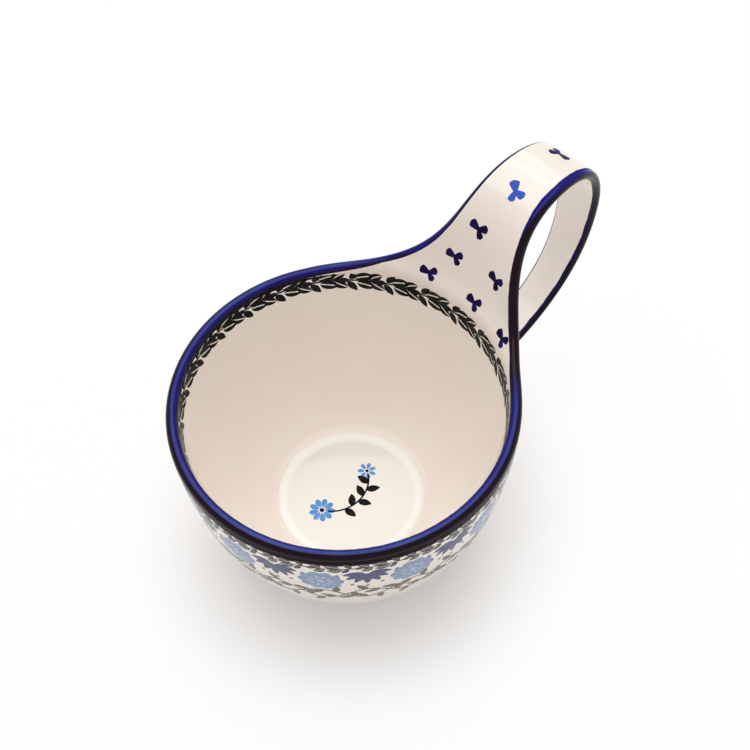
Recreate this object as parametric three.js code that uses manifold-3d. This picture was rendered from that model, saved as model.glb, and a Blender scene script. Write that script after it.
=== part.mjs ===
// Stoneware dipping bowl: a thrown bowl on a foot ring, with a strap handle that grows out of the
// rim, loops over and comes back to the wall, and a cobalt glaze along every edge.

import * as THREE from 'three';
import { mergeVertices } from 'three/addons/utils/BufferGeometryUtils.js';
import Module from 'manifold-3d';

const wasm = await Module();
wasm.setup();

// Driving dimensions, in millimetres and degrees. The bowl's axis is Z and the handle points to +X.

// Bowl
const RIM_RADIUS = 65;
const RIM_HEIGHT = 76.5;
const LIP_THICKNESS = 4.5;
const BELLY_PULL = 17;
const RIM_PULL = 39;
const RIM_LEAN = 2.5;
const WELL_RADIUS = 29.7;
const WELL_STEP = 0.8;
const FLOOR_THICKNESS = 5;
const HEEL_PULL = 14.5;
const HEEL_RISE = 3;
const INSIDE_PULL = 36;
const INSIDE_LEAN = 4.2;

// Foot ring
const FOOT_RADIUS = 35;
const FOOT_WIDTH = 5;
const FOOT_HEIGHT = 3;
const FOOT_ROUNDING = 0.8;

// Strap handle, along the middle of its thickness
const ROOT_BEND = 2.6;
const ROOT_LEAN = 42.8;
const ROOT_PULL = 14.6;
const CREST_OUT = 37.2;
const CREST_RISE = 41.5;
const CREST_PULL_IN = 24.5;
const CREST_PULL_OUT = 22.1;
const SHOULDER_OUT = 65.7;
const SHOULDER_RISE = 8.5;
const SHOULDER_PULL_UP = 14.2;
const SHOULDER_PULL_DOWN = 37.3;
const TAIL_HEIGHT = 26.3;
const TAIL_PULL = 50.6;

// Outline of the strap
const FLARE_HALF_ANGLE = 60;
const FLARE_DECAY = 12.7;
const FLARE_SPREAD = 63.2;
const FLARE_BLEND = 3.4;
const CREST_WIDTH = 28.7;
const RETURN_WIDTH = 14.8;
const TAIL_WIDTH = 20;
const TAPER_START = 22;
const TAPER_LENGTH = 145;
const TAIL_SPREAD_LENGTH = 18;

// The strap is as thick as the lip up to its crest, and thins towards its tail
const TAIL_THICKNESS = 3.4;
const THIN_START = 45;
const THIN_LENGTH = 65;

// Joints and glaze
const CLEARANCE = 0.3;
const SLIP_THICKNESS = 0.8;
const SLIP_SPILL = 1.2;
const GLAZE_THICKNESS = 0.6;
const GLAZE_TAIL_GAP = 2;

// Fineness of the facets
const BOWL_SIDES = 72;
const WALL_STEPS = 13;
const LIP_STEPS = 4;
const STRAP_STATIONS = 58;
const STRAP_CROWDING = 1.9;
const STRAP_ACROSS = 12;
const EDGE_STEPS = 4;
const RIM_STEPS = 44;
const PAD_SIDES = 28;

// Levels and radii that several pieces share
const radians = THREE.MathUtils.degToRad;
const lipRadius = LIP_THICKNESS / 2;
const lipLevel = RIM_HEIGHT - lipRadius;
const lipCircle = RIM_RADIUS - lipRadius;
const coatDepth = GLAZE_THICKNESS + CLEARANCE;
const floorLevel = FOOT_HEIGHT + FLOOR_THICKNESS;
const flareAngle = radians(FLARE_HALF_ANGLE);
const rootSeat = lipLevel - SLIP_THICKNESS - 2 * CLEARANCE;
const tailStandOff = SLIP_THICKNESS + 2 * CLEARANCE;
const up = new THREE.Vector3(0, 0, 1);
const point = (x, y) => new THREE.Vector2(x, y);

// Meshes

// Keeps the positions alone, joins the shared corners and drops the triangles that collapse.
function weld(geometry) {
  const bare = geometry.clone();
  bare.deleteAttribute('normal');
  bare.deleteAttribute('uv');
  const merged = mergeVertices(bare, 1e-4);
  const corners = merged.index.array;
  const kept = [];
  for (let i = 0; i < corners.length; i += 3) {
    const [a, b, c] = corners.slice(i, i + 3);
    if (a !== b && b !== c && c !== a) kept.push(a, b, c);
  }
  merged.setIndex(kept);
  return merged;
}

function meshGeometry(points, triangles) {
  const geometry = new THREE.BufferGeometry().setFromPoints(points);
  geometry.setIndex(triangles);
  return geometry;
}

function toSolid(geometry) {
  const welded = weld(geometry);
  return new wasm.Manifold(new wasm.Mesh({
    numProp: 3,
    vertProperties: new Float32Array(welded.attributes.position.array),
    triVerts: new Uint32Array(welded.index.array),
  }));
}

function toGeometry(solid) {
  const mesh = solid.getMesh();
  const geometry = new THREE.BufferGeometry();
  geometry.setAttribute('position', new THREE.BufferAttribute(mesh.vertProperties, 3));
  geometry.setIndex(new THREE.BufferAttribute(mesh.triVerts, 1));
  return geometry;
}

// A profile of radius and height, turned about Z.
function revolve(profile) {
  return new THREE.LatheGeometry(profile, BOWL_SIDES).rotateX(Math.PI / 2);
}

// Joins rings of equal count into a tube and closes it with the two caps' triangles, which are
// given as places on a ring and face the way the rings run.
function loft(rings, cap) {
  const count = rings[0].length;
  const last = (rings.length - 1) * count;
  const triangles = [];
  for (let ring = 0; ring < rings.length - 1; ring += 1) {
    for (let side = 0; side < count; side += 1) {
      const a = ring * count + side;
      const b = ring * count + (side + 1) % count;
      triangles.push(a, b, b + count, a, b + count, a + count);
    }
  }
  for (const [a, b, c] of cap) {
    triangles.push(a, c, b);
    triangles.push(last + a, last + b, last + c);
  }
  return meshGeometry(rings.flat(), triangles);
}

// Walls of the bowl

const outerWall = new THREE.CubicBezierCurve(
  point(FOOT_RADIUS, FOOT_HEIGHT),
  point(FOOT_RADIUS + BELLY_PULL, FOOT_HEIGHT),
  point(RIM_RADIUS - RIM_LEAN, lipLevel - RIM_PULL),
  point(RIM_RADIUS, lipLevel),
);

const innerWall = new THREE.CubicBezierCurve(
  point(RIM_RADIUS - LIP_THICKNESS, lipLevel),
  point(RIM_RADIUS - LIP_THICKNESS - INSIDE_LEAN, lipLevel - INSIDE_PULL),
  point(WELL_RADIUS + HEEL_PULL, floorLevel + WELL_STEP + HEEL_RISE),
  point(WELL_RADIUS, floorLevel + WELL_STEP),
);

// Radius of the outside wall at a height, found by halving.
function wallRadius(height) {
  let low = 0;
  let high = 1;
  for (let i = 0; i < 40; i += 1) {
    const middle = (low + high) / 2;
    if (outerWall.getPoint(middle).y < height) low = middle;
    else high = middle;
  }
  return outerWall.getPoint(low).x;
}

function lipArc(radius) {
  const arc = [];
  for (let i = 0; i <= LIP_STEPS; i += 1) {
    const turn = Math.PI * i / LIP_STEPS;
    arc.push(point(lipCircle + radius * Math.cos(turn), lipLevel + radius * Math.sin(turn)));
  }
  return arc;
}

// A flat sector of the rim, from -angle to +angle about the handle.
function rimSector(inner, outer, angle, bottom, height) {
  const outline = new THREE.Shape();
  outline.absarc(0, 0, outer, -angle, angle, false);
  outline.absarc(0, 0, inner, angle, -angle, true);
  outline.closePath();
  const sector = new THREE.ExtrudeGeometry(outline, {
    depth: height,
    bevelEnabled: false,
    curveSegments: RIM_STEPS,
  });
  return sector.translate(0, 0, bottom);
}

function bowlBody() {
  const profile = [
    point(0, FOOT_HEIGHT),
    ...outerWall.getPoints(WALL_STEPS),
    ...lipArc(lipRadius - coatDepth),
    ...innerWall.getPoints(WALL_STEPS),
    point(WELL_RADIUS - WELL_STEP, floorLevel),
    point(0, floorLevel),
  ];
  const seat = rimSector(
    lipCircle - LIP_THICKNESS,
    lipCircle + LIP_THICKNESS,
    flareAngle + CLEARANCE / lipCircle,
    rootSeat,
    LIP_THICKNESS + RIM_HEIGHT - rootSeat,
  );
  return toGeometry(toSolid(revolve(profile)).subtract(toSolid(seat)));
}

function footRing() {
  const inside = FOOT_RADIUS - FOOT_WIDTH;
  const top = FOOT_HEIGHT - CLEARANCE;
  return revolve([
    point(inside + FOOT_ROUNDING, 0),
    point(FOOT_RADIUS - FOOT_ROUNDING, 0),
    point(FOOT_RADIUS, FOOT_ROUNDING),
    point(FOOT_RADIUS, top),
    point(inside, top),
    point(inside, FOOT_ROUNDING),
    point(inside + FOOT_ROUNDING, 0),
  ]);
}

// Strap handle

const rootPoint = point(lipCircle, lipLevel);
const rootCorner = point(lipCircle, lipLevel + ROOT_BEND);
const leanWay = point(Math.sin(radians(ROOT_LEAN)), Math.cos(radians(ROOT_LEAN)));
const leanPoint = rootCorner.clone().addScaledVector(leanWay, ROOT_BEND);
const crest = point(RIM_RADIUS + CREST_OUT, lipLevel + CREST_RISE);
const shoulder = point(RIM_RADIUS + SHOULDER_OUT, lipLevel + SHOULDER_RISE);
const tailEnd = point(wallRadius(TAIL_HEIGHT) + tailStandOff, TAIL_HEIGHT);

// Middle of the strap in the plane of the handle: up from the rim, over the crest, round the
// shoulder of the loop and back to the wall.
const strapLine = new THREE.CurvePath();
strapLine.add(new THREE.QuadraticBezierCurve(rootPoint, rootCorner, leanPoint));
strapLine.add(new THREE.CubicBezierCurve(
  leanPoint,
  leanPoint.clone().addScaledVector(leanWay, ROOT_PULL),
  point(crest.x - CREST_PULL_IN, crest.y),
  crest,
));
strapLine.add(new THREE.CubicBezierCurve(
  crest,
  point(crest.x + CREST_PULL_OUT, crest.y),
  point(shoulder.x, shoulder.y + SHOULDER_PULL_UP),
  shoulder,
));
strapLine.add(new THREE.CubicBezierCurve(
  shoulder,
  point(shoulder.x, shoulder.y - SHOULDER_PULL_DOWN),
  point(tailEnd.x + TAIL_PULL, tailEnd.y),
  tailEnd,
));
const strapLength = strapLine.getLength();

function halfThickness(distance) {
  const thinned = THREE.MathUtils.smoothstep(distance, THIN_START, THIN_START + THIN_LENGTH);
  return THREE.MathUtils.lerp(LIP_THICKNESS, TAIL_THICKNESS, thinned) / 2;
}

// Half of the width between the middles of the two rounded edges, at a distance from the rim.
// The flare dies away as the edge climbs from the rim, and the strap then tapers to its tail.
function halfWidth(distance, radius) {
  const endRise = Math.exp(-FLARE_HALF_ANGLE / FLARE_DECAY);
  const flare = -FLARE_DECAY * Math.log(distance / FLARE_SPREAD + endRise);
  const flareHalf = radius * Math.sin(radians(Math.max(flare, 0)));
  const taper = THREE.MathUtils.smoothstep(distance, TAPER_START, TAPER_START + TAPER_LENGTH);
  const spread = THREE.MathUtils.smoothstep(distance, strapLength - TAIL_SPREAD_LENGTH, strapLength);
  const tapered = THREE.MathUtils.lerp(CREST_WIDTH, RETURN_WIDTH, taper);
  const width = THREE.MathUtils.lerp(tapered, TAIL_WIDTH, spread);
  const strapHalf = width / 2 - halfThickness(distance);
  if (distance <= 0) return flareHalf;
  const fade = THREE.MathUtils.smoothstep(distance, 0, ROOT_BEND);
  return (flareHalf ** FLARE_BLEND + fade * strapHalf ** FLARE_BLEND) ** (1 / FLARE_BLEND);
}

// The strap is a slice of the surface that its middle line sweeps about the bowl's axis.
// A place on it has a distance from the rim, and an angle about the axis.
function strapFrame(distance) {
  const share = THREE.MathUtils.clamp(distance / strapLength, 0, 1);
  const middle = strapLine.getPoint(share);
  const way = strapLine.getTangent(share);
  return { radius: middle.x, height: middle.y, across: point(-way.y, way.x) };
}

function strapPoint(frame, angle, offset) {
  const radius = frame.radius + frame.across.x * offset;
  const height = frame.height + frame.across.y * offset;
  return new THREE.Vector3(radius * Math.cos(angle), radius * Math.sin(angle), height);
}

function edgeAngle(distance) {
  const frame = strapFrame(distance);
  return Math.asin(Math.min(halfWidth(distance, frame.radius) / frame.radius, 1));
}

// Middle of a rounded edge, with its radius and the directions square to the strap and out of it.
function edgeFrame(distance, side) {
  const step = 0.01;
  const from = Math.max(distance - step, 0);
  const to = Math.min(distance + step, strapLength);
  const frame = strapFrame(distance);
  const angle = side * edgeAngle(distance);
  const middle = strapPoint(frame, angle, 0);
  const way = strapPoint(strapFrame(to), side * edgeAngle(to), 0)
    .sub(strapPoint(strapFrame(from), side * edgeAngle(from), 0))
    .normalize();
  const square = strapPoint(frame, angle, 1).sub(middle).normalize();
  const out = square.clone().cross(way).multiplyScalar(side).normalize();
  return { middle, square, out, half: halfThickness(distance) };
}

function edgePoint(frame, radius, turn) {
  return frame.middle.clone()
    .addScaledVector(frame.square, radius * Math.cos(turn))
    .addScaledVector(frame.out, radius * Math.sin(turn));
}

function edgeArc(frame, radius, start) {
  const arc = [];
  for (let i = 0; i <= EDGE_STEPS; i += 1) {
    arc.push(edgePoint(frame, radius, start + (Math.PI - 2 * start) * i / EDGE_STEPS));
  }
  return arc;
}

// Stations along the strap, crowded together where the flare opens into the rim.
function stations(length) {
  const places = [];
  for (let i = 0; i <= STRAP_STATIONS; i += 1) {
    places.push(length * (i / STRAP_STATIONS) ** STRAP_CROWDING);
  }
  return places;
}

function strapRing(distance) {
  const frame = strapFrame(distance);
  const angle = edgeAngle(distance);
  const half = halfThickness(distance);
  const face = [];
  const back = [];
  for (let i = 0; i <= STRAP_ACROSS; i += 1) {
    const turn = angle * (1 - 2 * i / STRAP_ACROSS);
    face.push(strapPoint(frame, turn, half));
    back.push(strapPoint(frame, -turn, -half));
  }
  const right = edgeArc(edgeFrame(distance, -1), half - coatDepth, 0);
  const left = edgeArc(edgeFrame(distance, 1), half - coatDepth, 0).reverse();
  return [...face, ...right, ...back, ...left];
}

// Moves a ring's points towards the axis until they stand off the wall by a set distance.
function seatOnWall(ring, standOff) {
  return ring.map((corner) => {
    const radius = wallRadius(corner.z) + standOff;
    return new THREE.Vector3(Math.sqrt(radius ** 2 - corner.y ** 2), corner.y, corner.z);
  });
}

// Triangles across the end of the strap: the strip between its two faces, and its two edges.
function strapCap() {
  const across = STRAP_ACROSS;
  const right = across + 1;
  const rightEnd = right + EDGE_STEPS;
  const back = rightEnd + 1;
  const left = back + across + 1;
  const leftEnd = left + EDGE_STEPS;
  const triangles = [];
  for (let i = 1; i < across - 1; i += 1) {
    const facing = back + across - i;
    triangles.push([i, i + 1, facing - 1], [i, facing - 1, facing]);
  }
  triangles.push([across - 1, across, right], [across - 1, right, rightEnd]);
  triangles.push([across - 1, rightEnd, back], [across - 1, back, back + 1]);
  triangles.push([back + across - 1, back + across, left], [back + across - 1, left, leftEnd]);
  triangles.push([back + across - 1, leftEnd, 0], [back + across - 1, 0, 1]);
  for (let i = 1; i < EDGE_STEPS; i += 1) {
    triangles.push([right, right + i, right + i + 1], [left, left + i, left + i + 1]);
  }
  return triangles;
}

function handleStrap() {
  const rings = stations(strapLength).map(strapRing);
  rings[rings.length - 1] = seatOnWall(rings[rings.length - 1], tailStandOff);
  return loft(rings, strapCap());
}

// Slip that lutes the handle on

function rootSlip() {
  return rimSector(
    RIM_RADIUS - LIP_THICKNESS,
    RIM_RADIUS,
    flareAngle - CLEARANCE / lipCircle,
    rootSeat + CLEARANCE,
    SLIP_THICKNESS,
  );
}

// An oval pad on the wall under the strap's tail, a little wider than the tail all round.
function tailSlip() {
  const halfAcross = TAIL_WIDTH / 2 + SLIP_SPILL;
  const halfHigh = TAIL_THICKNESS / 2 + SLIP_SPILL;
  const outline = [];
  for (let i = 0; i < PAD_SIDES; i += 1) {
    const turn = 2 * Math.PI * i / PAD_SIDES;
    const across = Math.sign(Math.cos(turn)) * Math.sqrt(Math.abs(Math.cos(turn)));
    const high = Math.sign(Math.sin(turn)) * Math.sqrt(Math.abs(Math.sin(turn)));
    outline.push(new THREE.Vector3(0, halfAcross * across, TAIL_HEIGHT + halfHigh * high));
  }
  const centre = new THREE.Vector3(0, 0, TAIL_HEIGHT);
  const half = outline.map((corner) => corner.clone().lerp(centre, 0.5));
  const layers = [CLEARANCE, CLEARANCE + SLIP_THICKNESS].map(
    (standOff) => seatOnWall([...outline, ...half, centre], standOff),
  );
  const back = layers[0].length;
  const middle = 2 * PAD_SIDES;
  const triangles = [];
  for (let i = 0; i < PAD_SIDES; i += 1) {
    const next = (i + 1) % PAD_SIDES;
    const ring = [
      [i, next, PAD_SIDES + next],
      [i, PAD_SIDES + next, PAD_SIDES + i],
      [PAD_SIDES + i, PAD_SIDES + next, middle],
    ];
    for (const [a, b, c] of ring) {
      triangles.push(a, c, b);
      triangles.push(back + a, back + b, back + c);
    }
    triangles.push(i, next, back + next, i, back + next, back + i);
  }
  return meshGeometry(layers.flat(), triangles);
}

// Cobalt glaze: one unbroken coat, down the strap's left edge, round the rim and up the right edge

function glazeRing(frame) {
  const outer = edgeArc(frame, frame.half, Math.asin(CLEARANCE / frame.half));
  const innerRadius = frame.half - GLAZE_THICKNESS;
  const inner = edgeArc(frame, innerRadius, Math.asin(CLEARANCE / innerRadius));
  return [...outer, ...inner.reverse()];
}

function rimFrame(angle) {
  const outward = new THREE.Vector3(Math.cos(angle), Math.sin(angle), 0);
  const middle = outward.clone().multiplyScalar(lipCircle).setZ(lipLevel);
  return { middle, square: outward.negate(), out: up, half: lipRadius };
}

function glazeCap() {
  const last = 2 * EDGE_STEPS + 1;
  const triangles = [];
  for (let i = 0; i < EDGE_STEPS; i += 1) {
    triangles.push([i, i + 1, last - i - 1], [i, last - i - 1, last - i]);
  }
  return triangles;
}

function cobaltEdge() {
  const places = stations(strapLength - GLAZE_TAIL_GAP - tailStandOff);
  const left = places.map((distance) => edgeFrame(distance, 1)).reverse();
  const right = places.map((distance) => edgeFrame(distance, -1));
  const rim = [];
  for (let i = 1; i < RIM_STEPS; i += 1) {
    rim.push(rimFrame(flareAngle + 2 * (Math.PI - flareAngle) * i / RIM_STEPS));
  }
  return loft([...left, ...rim, ...right].map(glazeRing), glazeCap());
}

// Assembly

const finishes = {
  creamGlaze: { color: 0xeee6dc, roughness: 0.14, metalness: 0 },
  bareClay: { color: 0xcdbba2, roughness: 0.85, metalness: 0 },
  dryJoint: { color: 0xe4d9ca, roughness: 0.5, metalness: 0 },
  cobaltGlaze: { color: 0x1c1a66, roughness: 0.1, metalness: 0 },
};

function piece(name, geometry, finish) {
  const mesh = new THREE.Mesh(geometry, new THREE.MeshStandardMaterial(finishes[finish]));
  mesh.name = name;
  return mesh;
}

const bowl = new THREE.Group();
bowl.add(
  piece('bowl_body', bowlBody(), 'creamGlaze'),
  piece('foot_ring', footRing(), 'bareClay'),
  piece('handle_strap', handleStrap(), 'creamGlaze'),
  piece('handle_root_slip', rootSlip(), 'dryJoint'),
  piece('handle_tail_slip', tailSlip(), 'dryJoint'),
  piece('cobalt_edge_glaze', cobaltEdge(), 'cobaltGlaze'),
);

// The origin is on the table, midway between the rim and the outside of the loop.
const extent = new THREE.Box3().setFromObject(bowl);
bowl.position.x = -(extent.min.x + extent.max.x) / 2;

const scoop = new THREE.Group();
scoop.add(bowl);

export default scoop;
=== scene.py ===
from math import asin, atan2, cos, exp, log, pi, radians, sin, sqrt

import bmesh
import bpy
from mathutils import Matrix, Vector
from mathutils.kdtree import KDTree

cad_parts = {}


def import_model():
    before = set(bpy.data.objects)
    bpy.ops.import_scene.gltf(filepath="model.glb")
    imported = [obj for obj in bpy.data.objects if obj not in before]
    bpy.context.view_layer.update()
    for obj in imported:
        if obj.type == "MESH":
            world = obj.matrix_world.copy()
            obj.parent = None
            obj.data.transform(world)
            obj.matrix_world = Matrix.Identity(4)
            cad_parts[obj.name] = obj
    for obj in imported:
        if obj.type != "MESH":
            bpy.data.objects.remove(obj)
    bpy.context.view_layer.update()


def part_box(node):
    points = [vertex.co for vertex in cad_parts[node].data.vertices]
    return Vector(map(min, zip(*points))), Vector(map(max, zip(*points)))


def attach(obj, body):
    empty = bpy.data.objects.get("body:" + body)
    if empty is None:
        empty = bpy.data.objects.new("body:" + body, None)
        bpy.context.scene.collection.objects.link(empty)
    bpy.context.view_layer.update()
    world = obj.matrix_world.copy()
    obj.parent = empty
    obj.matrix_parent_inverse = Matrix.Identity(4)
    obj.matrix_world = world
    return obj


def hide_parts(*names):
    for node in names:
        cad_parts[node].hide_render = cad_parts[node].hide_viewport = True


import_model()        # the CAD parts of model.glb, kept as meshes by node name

MM = 0.001

# Sizes of the pot in millimetres, from the bowl's axis at the table, with the handle along +X

RIM_RADIUS = 65.0
RIM_HEIGHT = 76.5
LIP_THICKNESS = 4.5
BELLY_PULL = 17.0
RIM_PULL = 39.0
RIM_LEAN = 2.5
WELL_RADIUS = 29.7
WELL_STEP = 0.8
WELL_FILLET = 5.0
WELL_FILLET_PULL = 1.6
WELL_EDGE = 0.4
WELL_FADE = 2.0
# Painted shade on the wall beside the well: where it ends, and how strong it is
HEEL_SHADE_END = 37.0
HEEL_SHADE = 0.7
FLOOR_THICKNESS = 5.0
HEEL_PULL = 14.5
HEEL_RISE = 3.0
INSIDE_PULL = 36.0
INSIDE_LEAN = 4.2

FOOT_RADIUS = 35.0
FOOT_WIDTH = 5.0
FOOT_HEIGHT = 3.0
FOOT_ROUNDING = 0.9

ROOT_BEND = 2.6
ROOT_LEAN = radians(42.8)
ROOT_PULL = 14.6
CREST_OUT = 37.2
CREST_RISE = 41.5
CREST_PULL_IN = 24.5
CREST_PULL_OUT = 22.1
SHOULDER_OUT = 65.7
SHOULDER_RISE = 8.5
SHOULDER_PULL_UP = 14.2
SHOULDER_PULL_DOWN = 37.3
TAIL_HEIGHT = 26.3
TAIL_PULL = 50.6
TAIL_STAND_OFF = 1.4
TAIL_SINK = 0.6
TAIL_FILLET = 3.5

FLARE_HALF_ANGLE = radians(60)
FLARE_DECAY = radians(12.7)
FLARE_SPREAD = 63.2
FLARE_BLEND = 3.4
CREST_WIDTH = 28.7
RETURN_WIDTH = 14.8
TAIL_WIDTH = 20.0
TAPER_START = 22.0
TAPER_LENGTH = 145.0
TAIL_SPREAD_LENGTH = 18.0
TAIL_THICKNESS = 3.4
THIN_START = 45.0
THIN_LENGTH = 65.0
SKIN_INSET = 0.03

# Cobalt beyond the rounded edge: on the wall, on the strap's back and on its face at the crest
WALL_BAND = 3.7
INSIDE_BAND = 1.1
BACK_BAND = 0.4
BACK_BAND_END = 22.0
FACE_BAND = 1.3
FACE_BAND_RISE = (32.0, 56.0)
FACE_BAND_FALL = (80.0, 98.0)
BAND_WAVER = 0.3
BAND_SOFTNESS = 0.12
INSIDE_SOFTNESS = 0.2
BAND_OFF = 1.0
# The strap turns down into its return over this stretch
RETURN_TONE = (96.0, 120.0)

# The cream is darker and warmer on the tongue than over the crest: painted shade
TONGUE_SHADE = 0.95
CREST_SHADE = 0.65
SHADE_FADE = (22.0, 52.0)

LIP_RADIUS = LIP_THICKNESS / 2
LIP_LEVEL = RIM_HEIGHT - LIP_RADIUS
LIP_CIRCLE = RIM_RADIUS - LIP_RADIUS
INNER_RIM = RIM_RADIUS - LIP_THICKNESS
FLOOR_LEVEL = FOOT_HEIGHT + FLOOR_THICKNESS
WELL_FLOOR_RADIUS = WELL_RADIUS - WELL_FILLET
FLARE_END = exp(-FLARE_HALF_ANGLE / FLARE_DECAY)

# The bowl stands over the middle of its foot ring, which gives the axis in the shared frame
foot_low, foot_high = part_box("foot_ring")
AXIS = (foot_low.x + foot_high.x) / 2


def placed(x, y, z):
    return Vector((AXIS + x * MM, y * MM, z * MM))


# Lines in the plane of the handle: radius from the axis, and height

def bezier(corners, share):
    """A point on the curve that the corners pull, by repeated steps along the ways between them."""
    while len(corners) > 1:
        corners = [a.lerp(b, share) for a, b in zip(corners, corners[1:])]
    return corners[0]


def curve(corners, steps):
    points = [Vector(corner) for corner in corners]
    return [bezier(points, step / steps) for step in range(steps + 1)]


def way_to(angle):
    return Vector((cos(angle), sin(angle)))


def crosswise(way):
    return Vector((-way.y, way.x))


LEAST_STRETCH = 1e-6


class Line:
    """A polyline that is read by the distance along it."""

    def __init__(self, points):
        self.points = [points[0]]
        self.distances = [0.0]
        for point in points[1:]:
            stretch = (point - self.points[-1]).length
            if stretch > LEAST_STRETCH:
                self.points.append(point)
                self.distances.append(self.distances[-1] + stretch)
        self.length = self.distances[-1]

    def at(self, distance):
        """The point there, and the direction of the line."""
        low, high = 0, len(self.points) - 1
        while high - low > 1:
            middle = (low + high) // 2
            if self.distances[middle] <= distance:
                low = middle
            else:
                high = middle
        way = self.points[high] - self.points[low]
        share = (distance - self.distances[low]) / way.length
        return self.points[low] + way * share, way.normalized()


CURVE_STEPS = 160

outer_wall = curve(
    [
        (FOOT_RADIUS, FOOT_HEIGHT),
        (FOOT_RADIUS + BELLY_PULL, FOOT_HEIGHT),
        (RIM_RADIUS - RIM_LEAN, LIP_LEVEL - RIM_PULL),
        (RIM_RADIUS, LIP_LEVEL),
    ],
    CURVE_STEPS,
)
inner_wall = curve(
    [
        (INNER_RIM, LIP_LEVEL),
        (INNER_RIM - INSIDE_LEAN, LIP_LEVEL - INSIDE_PULL),
        (WELL_RADIUS + HEEL_PULL, FLOOR_LEVEL + WELL_STEP + HEEL_RISE),
        (WELL_RADIUS, FLOOR_LEVEL + WELL_STEP),
    ],
    CURVE_STEPS,
)


def radius_at(wall, height):
    """Radius of a wall at a height, between its points."""
    for a, b in zip(wall, wall[1:]):
        if min(a.y, b.y) <= height <= max(a.y, b.y) and a.y != b.y:
            return a.x + (b.x - a.x) * (height - a.y) / (b.y - a.y)
    return min(wall, key=lambda point: abs(point.y - height)).x


def strap_line():
    """Middle of the strap: up from the rim, over the crest, round the shoulder, back into the wall."""
    root = Vector((LIP_CIRCLE, LIP_LEVEL))
    corner = root + Vector((0, ROOT_BEND))
    lean = Vector((sin(ROOT_LEAN), cos(ROOT_LEAN)))
    leaning = corner + lean * ROOT_BEND
    crest = Vector((RIM_RADIUS + CREST_OUT, LIP_LEVEL + CREST_RISE))
    shoulder = Vector((RIM_RADIUS + SHOULDER_OUT, LIP_LEVEL + SHOULDER_RISE))
    wall = radius_at(outer_wall, TAIL_HEIGHT)
    tail = Vector((wall + TAIL_STAND_OFF, TAIL_HEIGHT))
    stretches = [
        [root, corner, leaning],
        [leaning, leaning + lean * ROOT_PULL, crest - Vector((CREST_PULL_IN, 0)), crest],
        [
            crest,
            crest + Vector((CREST_PULL_OUT, 0)),
            shoulder + Vector((0, SHOULDER_PULL_UP)),
            shoulder,
        ],
        [
            shoulder,
            shoulder - Vector((0, SHOULDER_PULL_DOWN)),
            tail + Vector((TAIL_PULL, 0)),
            tail,
        ],
        [tail, Vector((wall - TAIL_SINK, TAIL_HEIGHT))],
    ]
    return Line([point for corners in stretches for point in curve(corners, CURVE_STEPS)])


STRAP = strap_line()
STRAP_END = STRAP.length - TAIL_STAND_OFF - TAIL_SINK


# Shape of the strap across its line

def smoothstep(value, start, end):
    share = min(max((value - start) / (end - start), 0.0), 1.0)
    return share * share * (3 - 2 * share)


def mix(a, b, share):
    return a + (b - a) * share


def between(value, rise, fall):
    """1 from the end of the rise to the start of the fall, smooth on both."""
    return smoothstep(value, *rise) * (1 - smoothstep(value, *fall))


def half_thickness(distance):
    """Half of the strap, drawn in a hair so that its curves stay inside the solid's facets."""
    thinned = smoothstep(distance, THIN_START, THIN_START + THIN_LENGTH)
    inset = SKIN_INSET * smoothstep(distance, 0, ROOT_BEND)
    return mix(LIP_THICKNESS, TAIL_THICKNESS, thinned) / 2 - inset


def half_width(distance, radius):
    """Half of the width between the middles of the rounded edges."""
    flare = max(-FLARE_DECAY * log(distance / FLARE_SPREAD + FLARE_END), 0.0)
    taper = smoothstep(distance, TAPER_START, TAPER_START + TAPER_LENGTH)
    spread = smoothstep(distance, STRAP_END - TAIL_SPREAD_LENGTH, STRAP_END)
    width = mix(mix(CREST_WIDTH, RETURN_WIDTH, taper), TAIL_WIDTH, spread)
    strap = width / 2 - half_thickness(distance)
    fade = smoothstep(distance, 0, ROOT_BEND)
    flared = (radius * sin(flare)) ** FLARE_BLEND
    return (flared + fade * strap ** FLARE_BLEND) ** (1 / FLARE_BLEND)


def fillet(gap):
    """How far clay spreads beyond the strap where it is a gap away from the wall."""
    if gap >= TAIL_FILLET:
        return 0.0
    left = TAIL_FILLET - max(gap, 0.0)
    return TAIL_FILLET - sqrt(TAIL_FILLET ** 2 - left ** 2)


EDGE_REACH = 0.01


class Section:
    """The strap at a distance from the rim. Its surface is turned about the bowl's axis."""

    def __init__(self, distance):
        self.distance = distance
        middle, way = STRAP.at(distance)
        self.radius, self.height = middle
        self.across = crosswise(way)
        width = half_width(distance, self.radius)
        half = half_thickness(distance)
        self.face, self.back = half, half
        if distance > STRAP.length / 2:
            self.face += self.spill(self.across.y * half)
            self.back += self.spill(-self.across.y * half)
            width += self.spill(0)
        self.angle = asin(min(width / self.radius, 1.0))

    def spill(self, rise):
        return fillet(self.radius - radius_at(outer_wall, self.height + rise))

    def point(self, angle, offset):
        radius = self.radius + self.across.x * offset
        height = self.height + self.across.y * offset
        return Vector((radius * cos(angle), radius * sin(angle), height))

    def edge(self, side):
        """Middle, half thickness and outward direction of the edge on one side."""
        near = Section(max(self.distance - EDGE_REACH, 0))
        far = Section(min(self.distance + EDGE_REACH, STRAP.length))
        way = far.point(side * far.angle, 0) - near.point(side * near.angle, 0)
        face = self.point(side * self.angle, self.face)
        back = self.point(side * self.angle, -self.back)
        half = (face - back) / 2
        out = half.cross(way).normalized() * side
        return (face + back) / 2, half, out


STRAP_STATIONS = 210
STRAP_CROWDING = 1.7
FILLET_STATIONS = 24
STRAP_ACROSS = 44


def strap_sections():
    """Stations crowd where the flare opens into the rim, and again at the fillet on the wall."""
    fillet_start = STRAP_END - TAIL_FILLET
    places = [
        fillet_start * (i / STRAP_STATIONS) ** STRAP_CROWDING for i in range(STRAP_STATIONS)
    ]
    for i in range(FILLET_STATIONS + 1):
        places.append(mix(fillet_start, STRAP.length, i / FILLET_STATIONS))
    return [Section(place) for place in places]


SECTIONS = strap_sections()


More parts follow.
